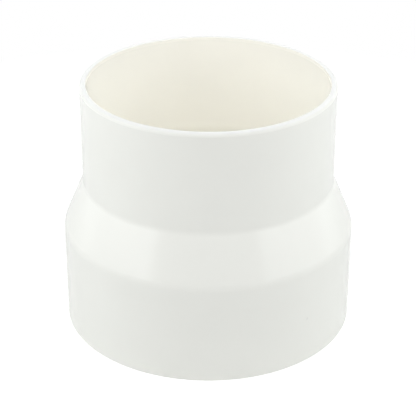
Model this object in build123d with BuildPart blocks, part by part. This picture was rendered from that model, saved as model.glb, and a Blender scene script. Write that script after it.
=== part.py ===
"""Duct reducer: one moulded wall that steps from a wide pipe socket in to a narrower duct spigot.

Millimetres, +Z up. The origin is the centre of the wide end, on the plane that the reducer stands on.
"""

import os

from build123d import *

# Driving dimensions
spigot_diameter = 100.0  # outside of the upper collar, which goes inside a 100 mm duct
socket_diameter = 111.0  # inside of the lower collar, which takes a 110 mm pipe
wall = 2.5  # the same all the way round the section
spigot_length = 40.5  # from the upper rim to the corner where the cone begins
cone_height = 19.0  # from corner to corner, along the axis
socket_length = 40.5  # from the lower rim to the corner where the cone ends
bend_radius = 4.0  # on the hollow side of each bend, and the far side is concentric
lead_in_round = 1.2  # on the spigot's outer edge, over which the duct is pushed
rim_chamfer = 0.2  # on the other three edges of the two rims

# Places that follow from them
spigot_radius = spigot_diameter / 2
socket_outer_radius = socket_diameter / 2 + wall
cone_foot = socket_length
cone_top = cone_foot + cone_height
overall_height = cone_top + spigot_length
edge_round = min(lead_in_round, wall - 2 * rim_chamfer)

# The outside of the wall is drawn from the foot up, and the wall is laid on its inner side
with BuildPart() as reducer:
    with BuildSketch(Plane.XZ) as section:
        with BuildLine():
            FilletPolyline(
                (socket_outer_radius, 0),
                (socket_outer_radius, cone_foot),
                (spigot_radius, cone_top),
                (spigot_radius, overall_height),
                radius=[bend_radius + wall, bend_radius],
            )
            offset(amount=wall, side=Side.LEFT)
        make_face()
        spigot_rim = section.vertices().group_by(Axis.Y)[-1].sort_by(Axis.X)
        fillet(spigot_rim[-1], edge_round)
        rims = section.vertices().group_by(Axis.Y)
        chamfer(rims[0] + rims[-1].sort_by(Axis.X)[:1], rim_chamfer)
    revolve(axis=Axis.Z)

reducer.part.label = "reducer"

os.makedirs("parts", exist_ok=True)
export_step(reducer.part, "parts/reducer.step")
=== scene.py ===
import math

import bpy
from mathutils import Euler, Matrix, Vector


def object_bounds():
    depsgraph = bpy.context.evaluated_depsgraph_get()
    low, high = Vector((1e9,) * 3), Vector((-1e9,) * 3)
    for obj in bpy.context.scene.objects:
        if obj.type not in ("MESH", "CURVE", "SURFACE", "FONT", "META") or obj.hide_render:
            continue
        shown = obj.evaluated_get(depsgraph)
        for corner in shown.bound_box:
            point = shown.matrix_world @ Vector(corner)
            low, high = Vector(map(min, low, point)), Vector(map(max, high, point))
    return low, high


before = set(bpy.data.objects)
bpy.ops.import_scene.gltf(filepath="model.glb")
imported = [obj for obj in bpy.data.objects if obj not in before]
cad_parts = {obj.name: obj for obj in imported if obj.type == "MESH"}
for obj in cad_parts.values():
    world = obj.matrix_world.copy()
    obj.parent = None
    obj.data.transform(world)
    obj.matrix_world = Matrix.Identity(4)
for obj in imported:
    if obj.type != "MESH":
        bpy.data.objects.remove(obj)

# The CAD box, straight after loading
CAD_LOW, CAD_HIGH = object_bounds()
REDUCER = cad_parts["reducer"]

# Camera of the photograph
PHOTO_PIXELS = 416
FOCAL_PIXELS = 1427.9
SENSOR_MM = 36.0
CAMERA_DISTANCE = 0.5782  # from the point on the duct's axis that it looks at
CAMERA_ELEVATION = math.radians(27.48)
CAMERA_ROLL = math.radians(0.15)
AIM_HEIGHT = 0.0445
AXIS_RIGHT_OF_CENTRE_PIXELS = 0.2

# Floor and background
WHITE = (1.0, 1.0, 1.0, 1.0)
FLOOR_SIDE = 8.0
FLOOR_COLOUR = (0.85, 0.85, 0.85, 1.0)
FLOOR_WHITENING = 0.31  # what the camera sees on top of the floor's own light
WHITENING_REFLECTED = 0.4  # the share of it that the plastic mirrors, so that its edges stay off white
WHITE_FLOOR = (0.20, 0.30)  # distances from the duct's axis over which the floor turns plain white

# Upright panels of light. Azimuths are in degrees, from the camera's side towards the right
SIDE_LIGHT = (0.98, 1.0, 1.0)  # a trace cooler than the light from the front
SIDE_DISTANCE = 0.5  # from the duct's axis
SIDE_AZIMUTHS = (42, 92)  # on the right, and mirrored on the left
SIDE_PANELS = {  # heights above the floor, and the radiance on the left and on the right
    "low": ((0.00, 0.09), 0.56, 0.58),
    "waist": ((0.09, 0.17), 1.36, 1.08),
    "middle": ((0.17, 0.30), 2.56, 2.23),
    "high": ((0.30, 0.60), 2.63, 2.40),
}
REAR_AZIMUTHS = (93, 150)
REAR_PANELS = {
    "rear_low": ((0.00, 0.10), 0.72, 0.80),
    "rear_high": ((0.30, 0.60), 1.92, 2.42),
}
FRONT_LIGHT = (1.02, 1.0, 1.0)
FRONT_DISTANCE = 0.8
FRONT_AZIMUTHS = (-40, 40)
FRONT_HEIGHTS = (0.70, 1.10)
FRONT_RADIANCE = 4.73

# Level panels of light, which shine down
BACKDROP_LIGHT_PLACE = (0.0, 0.6, 0.45)  # over the floor behind the object
BACKDROP_LIGHT_SIZE = (0.9, 0.5)
BACKDROP_LIGHT_RADIANCE = 1.35
BACKDROP_LIGHT_SPREAD = math.pi
DUCT_LIGHT_PLACE = (0.0, 0.0, 0.5)  # straight into the duct, in place of light that comes through its wall
DUCT_LIGHT_SIZE = (0.03, 0.03)
DUCT_LIGHT_RADIANCE = 0.95
DUCT_LIGHT_SPREAD = math.radians(12.0)

# Bounces of light
DIFFUSE_BOUNCES = 12  # the white inside of the duct is lit mostly by its own walls
OTHER_BOUNCES = 4  # reflections on the way

# Colours of the plastic, with painted glow and painted light on the inside
OUTSIDE_COLOUR = (0.895, 0.902, 0.858, 1.0)
RIM_COLOUR = (0.910, 0.920, 0.905, 1.0)  # a trace whiter than the sides, on the spigot's flat rim
RIM_TOP = (CAD_HIGH.z - 0.0005, CAD_HIGH.z - 0.0001)  # heights over which the rim's colour comes in
INSIDE_PAINTED_GLOW_COLOUR = (0.956, 0.944, 0.892, 1.0)  # painted glow: warmer and lighter than the outside, in place of light that comes through the wall
DEEP_PAINTED_LIGHT_COLOUR = (0.990, 0.980, 0.925, 1.0)  # painted light: lightest under the shoulder, where the lamps reach least
DEEP_PAINTED_LIGHT_HEIGHTS = (0.0565, 0.0625)  # about the shoulder, from the painted light under it to the inside's painted glow
FACING_BLEND = 0.02  # how gently the outside's colour gives way on faces that turn inwards

# Finish of the plastic
PLASTIC_IOR = 1.5
ROUGHNESS_RANGE = (0.15, 0.20)
RIM_DULLNESS = 0.25  # added to the roughness on the spigot's rim
RIM_ROUND = (CAD_HIGH.z - 0.0016, CAD_HIGH.z - 0.0010)  # heights at which the lead-in round grows dull
MOTTLE_SCALE = 55.0
MOTTLE_DETAIL = 2.0
MOTTLE_NOISE = (0.3, 0.7)  # the noise mostly stays between these
MOTTLE_RANGE = (0.992, 1.004)
GRAIN_SCALE = 1100.0
GRAIN_DETAIL = 3.0
GRAIN_DEPTH = 0.00002
GRAIN_STRENGTH = 0.12

# The one dark speck in the photograph, on the wide collar
SPECK_AZIMUTH = math.radians(41.4)
SPECK_HEIGHT = 0.0191
SPECK_RADIUS = 0.0008
SPECK_SHADE = 0.90


def add_node(tree, kind, **settings):
    node = tree.nodes.new(kind)
    for name, value in settings.items():
        setattr(node, name, value)
    return node


def feed(tree, source, socket):
    """Links a socket to a node's output, or sets it to a plain value."""
    if isinstance(source, bpy.types.NodeSocket):
        tree.links.new(source, socket)
    else:
        socket.default_value = source


def maths(tree, operation, first, second):
    """The result of an operation on two numbers, each of them plain or a node's output."""
    node = add_node(tree, "ShaderNodeMath", operation=operation)
    feed(tree, first, node.inputs[0])
    feed(tree, second, node.inputs[1])
    return node.outputs[0]


def vector_maths(tree, operation, first, second):
    """The outputs of an operation on two vectors: the first is a vector, and Value is a number."""
    node = add_node(tree, "ShaderNodeVectorMath", operation=operation)
    feed(tree, first, node.inputs[0])
    feed(tree, second, node.inputs[1])
    return node.outputs


def map_range(tree, value, from_range, to_range=(0.0, 1.0)):
    node = add_node(tree, "ShaderNodeMapRange")
    node.inputs["From Min"].default_value, node.inputs["From Max"].default_value = from_range
    node.inputs["To Min"].default_value, node.inputs["To Max"].default_value = to_range
    tree.links.new(value, node.inputs["Value"])
    return node.outputs["Result"]


def noise(tree, place, scale, detail):
    node = add_node(tree, "ShaderNodeTexNoise")
    node.inputs["Scale"].default_value = scale
    node.inputs["Detail"].default_value = detail
    tree.links.new(place, node.inputs["Vector"])
    return node.outputs["Fac"]


def colour_socket(sockets, name):
    """The colour socket of that name on a Mix node, which has others for numbers and vectors."""
    return next(socket for socket in sockets if socket.name == name and socket.type == "RGBA")


def mix_colours(tree, share, first, second):
    """The first colour where the share is 0, and the second where it is 1."""
    node = add_node(tree, "ShaderNodeMix", data_type="RGBA")
    tree.links.new(share, node.inputs["Factor"])
    feed(tree, first, colour_socket(node.inputs, "A"))
    feed(tree, second, colour_socket(node.inputs, "B"))
    return colour_socket(node.outputs, "Result")


def scale_colour(tree, colour, shade):
    node = add_node(tree, "ShaderNodeVectorMath", operation="SCALE")
    tree.links.new(colour, node.inputs[0])
    tree.links.new(shade, node.inputs["Scale"])
    return node.outputs[0]


def outside_facing(tree, coordinates):
    """1 on faces that look away from the duct's axis and on the rims, 0 on those that look towards it."""
    level = (1.0, 1.0, 0.0)  # leaves the height out
    from_axis = vector_maths(tree, "MULTIPLY", coordinates.outputs["Object"], level)[0]
    facing = vector_maths(tree, "DOT_PRODUCT", from_axis, coordinates.outputs["Normal"])["Value"]
    return map_range(tree, facing, (-FACING_BLEND, 0.0))


def plastic_colour(tree, coordinates, height):
    """The outside with its whiter rim, and the inside with painted glow and more painted light under the
    shoulder.
    """
    # the inside's colour is painted glow, and lighter still under the shoulder as painted light
    inside = mix_colours(tree, map_range(tree, height, DEEP_PAINTED_LIGHT_HEIGHTS), DEEP_PAINTED_LIGHT_COLOUR, INSIDE_PAINTED_GLOW_COLOUR)
    outside = mix_colours(tree, map_range(tree, height, RIM_TOP), OUTSIDE_COLOUR, RIM_COLOUR)
    return mix_colours(tree, outside_facing(tree, coordinates), inside, outside)


def speck_shade(tree, place):
    """1 on clean plastic and a little less on the speck."""
    radius = CAD_HIGH.x
    centre = (radius * math.sin(SPECK_AZIMUTH), -radius * math.cos(SPECK_AZIMUTH), SPECK_HEIGHT)
    gap = vector_maths(tree, "DISTANCE", place, centre)["Value"]
    return map_range(tree, gap, (0.0, SPECK_RADIUS), (SPECK_SHADE, 1.0))


def plastic_roughness(tree, mottle, height):
    """A little uneven all over, and duller on the spigot's rim."""
    uneven = map_range(tree, mottle, MOTTLE_NOISE, ROUGHNESS_RANGE)
    return maths(tree, "ADD", uneven, map_range(tree, height, RIM_ROUND, (0.0, RIM_DULLNESS)))


def plastic_grain(tree, place):
    """Surface normals with a fine moulded grain."""
    node = add_node(tree, "ShaderNodeBump")
    node.inputs["Strength"].default_value = GRAIN_STRENGTH
    node.inputs["Distance"].default_value = GRAIN_DEPTH
    tree.links.new(noise(tree, place, GRAIN_SCALE, GRAIN_DETAIL), node.inputs["Height"])
    return node.outputs["Normal"]


def plastic_material():
    material = bpy.data.materials.new("moulded_white_plastic")
    material.use_nodes = True
    tree = material.node_tree
    coordinates = add_node(tree, "ShaderNodeTexCoord")
    place = coordinates.outputs["Object"]
    axes = add_node(tree, "ShaderNodeSeparateXYZ")
    tree.links.new(place, axes.inputs[0])
    height = axes.outputs["Z"]
    mottle = noise(tree, place, MOTTLE_SCALE, MOTTLE_DETAIL)
    uneven = map_range(tree, mottle, MOTTLE_NOISE, MOTTLE_RANGE)
    shade = maths(tree, "MULTIPLY", uneven, speck_shade(tree, place))
    colour = scale_colour(tree, plastic_colour(tree, coordinates, height), shade)

    shader = tree.nodes["Principled BSDF"]
    shader.inputs["IOR"].default_value = PLASTIC_IOR
    tree.links.new(colour, shader.inputs["Base Color"])
    tree.links.new(plastic_roughness(tree, mottle, height), shader.inputs["Roughness"])
    tree.links.new(plastic_grain(tree, place), shader.inputs["Normal"])
    return material


def seen_directly(tree, reflected=1.0):
    """1 for the camera's rays, a share for those off a mirror or through glass, and 0 for all other light."""
    path = add_node(tree, "ShaderNodeLightPath").outputs
    mirror_or_glass = maths(tree, "MAXIMUM", path["Is Glossy Ray"], path["Is Transmission Ray"])
    return maths(tree, "MAXIMUM", path["Is Camera Ray"], maths(tree, "MULTIPLY", mirror_or_glass, reflected))


def white_glow(tree, strength=1.0):
    """White that needs no lamp. At a strength of 1 it is plain white in the picture."""
    node = add_node(tree, "ShaderNodeEmission")
    node.inputs["Color"].default_value = WHITE
    feed(tree, strength, node.inputs["Strength"])
    return node.outputs[0]


def near_floor(tree):
    """Pale paint that takes the object's shadow, whitened for the camera."""
    paint = add_node(tree, "ShaderNodeBsdfDiffuse")
    paint.inputs["Color"].default_value = FLOOR_COLOUR
    seen = seen_directly(tree, WHITENING_REFLECTED)
    both = add_node(tree, "ShaderNodeAddShader")
    tree.links.new(paint.outputs[0], both.inputs[0])
    tree.links.new(white_glow(tree, maths(tree, "MULTIPLY", seen, FLOOR_WHITENING)), both.inputs[1])
    return both.outputs[0]


def floor_material():
    """Pale paint about the object, which turns plain white to the eye further out."""
    material = bpy.data.materials.new("studio_floor")
    material.use_nodes = True
    tree = material.node_tree
    tree.nodes.clear()
    distance = add_node(tree, "ShaderNodeVectorMath", operation="LENGTH")
    tree.links.new(add_node(tree, "ShaderNodeTexCoord").outputs["Object"], distance.inputs[0])
    far_share = map_range(tree, distance.outputs["Value"], WHITE_FLOOR)
    surface = add_node(tree, "ShaderNodeMixShader")
    tree.links.new(maths(tree, "MULTIPLY", far_share, seen_directly(tree)), surface.inputs["Fac"])
    tree.links.new(near_floor(tree), surface.inputs[1])
    tree.links.new(white_glow(tree), surface.inputs[2])
    out = add_node(tree, "ShaderNodeOutputMaterial")
    tree.links.new(surface.outputs[0], out.inputs["Surface"])
    return material


def make_floor():
    half = FLOOR_SIDE / 2
    mesh = bpy.data.meshes.new("floor")
    corners = [(-half, -half, 0), (half, -half, 0), (half, half, 0), (-half, half, 0)]
    mesh.from_pydata(corners, [], [(0, 1, 2, 3)])
    mesh.materials.append(floor_material())
    floor = bpy.data.objects.new("floor", mesh)
    floor.location.z = CAD_LOW.z
    bpy.context.scene.collection.objects.link(floor)


def make_world():
    """White to the camera and in reflections. The panels alone light the object."""
    world = bpy.data.worlds.new("studio")
    bpy.context.scene.world = world
    world.use_nodes = True
    background = world.node_tree.nodes["Background"]
    background.inputs["Color"].default_value = WHITE
    world.node_tree.links.new(seen_directly(world.node_tree), background.inputs["Strength"])


def add_light(name, width, height, radiance):
    data = bpy.data.lights.new(name, "AREA")
    data.shape = "RECTANGLE"
    data.size, data.size_y = width, height
    data.energy = math.pi * width * height * radiance
    light = bpy.data.objects.new(name, data)
    light.visible_camera = False
    bpy.context.scene.collection.objects.link(light)
    return light


def make_upright_panel(name, azimuths, heights, distance, radiance, colour):
    """A soft panel that stands at a distance from the duct's axis and faces it."""
    start, end = (math.radians(azimuth) for azimuth in azimuths)
    middle = (start + end) / 2
    width = 2 * distance * math.tan(abs(end - start) / 2)
    light = add_light(name, width, heights[1] - heights[0], radiance)
    light.data.color = colour
    away = Vector((math.sin(middle), -math.cos(middle), 0.0))
    light.location = away * distance
    light.location.z = CAD_LOW.z + sum(heights) / 2
    light.rotation_euler = away.to_track_quat("Z", "Y").to_euler()


def make_level_panel(name, place, size, radiance, spread):
    """A soft panel that shines down, in a narrow beam where the spread is small."""
    light = add_light(name, size[0], size[1], radiance)
    light.data.spread = spread
    light.location = place


def make_lights():
    for azimuths, panels in ((SIDE_AZIMUTHS, SIDE_PANELS), (REAR_AZIMUTHS, REAR_PANELS)):
        mirrored = [-azimuth for azimuth in azimuths]
        for name, (heights, left, right) in panels.items():
            make_upright_panel("left_" + name, mirrored, heights, SIDE_DISTANCE, left, SIDE_LIGHT)
            make_upright_panel("right_" + name, azimuths, heights, SIDE_DISTANCE, right, SIDE_LIGHT)
    make_upright_panel("front", FRONT_AZIMUTHS, FRONT_HEIGHTS, FRONT_DISTANCE, FRONT_RADIANCE, FRONT_LIGHT)
    make_level_panel(
        "backdrop_light",
        BACKDROP_LIGHT_PLACE,
        BACKDROP_LIGHT_SIZE,
        BACKDROP_LIGHT_RADIANCE,
        BACKDROP_LIGHT_SPREAD,
    )
    make_level_panel("duct_light", DUCT_LIGHT_PLACE, DUCT_LIGHT_SIZE, DUCT_LIGHT_RADIANCE, DUCT_LIGHT_SPREAD)


def make_camera():
    data = bpy.data.cameras.new("camera")
    data.sensor_width = SENSOR_MM
    data.lens = FOCAL_PIXELS * SENSOR_MM / PHOTO_PIXELS
    data.shift_x = -AXIS_RIGHT_OF_CENTRE_PIXELS / PHOTO_PIXELS
    camera = bpy.data.objects.new("camera", data)
    reach = CAMERA_DISTANCE * math.cos(CAMERA_ELEVATION)
    rise = CAMERA_DISTANCE * math.sin(CAMERA_ELEVATION)
    camera.location = (0, -reach, AIM_HEIGHT + rise)
    level = Euler((math.pi / 2 - CAMERA_ELEVATION, 0, 0)).to_matrix()
    camera.rotation_euler = (level @ Euler((0, 0, CAMERA_ROLL)).to_matrix()).to_euler()
    bpy.context.scene.collection.objects.link(camera)
    bpy.context.scene.camera = camera


REDUCER.data.materials.clear()
REDUCER.data.materials.append(plastic_material())
make_floor()
make_world()
make_lights()
make_camera()
bpy.context.scene.view_settings.view_transform = "Standard"
bpy.context.scene.cycles.diffuse_bounces = DIFFUSE_BOUNCES
bpy.context.scene.cycles.max_bounces = DIFFUSE_BOUNCES + OTHER_BOUNCES
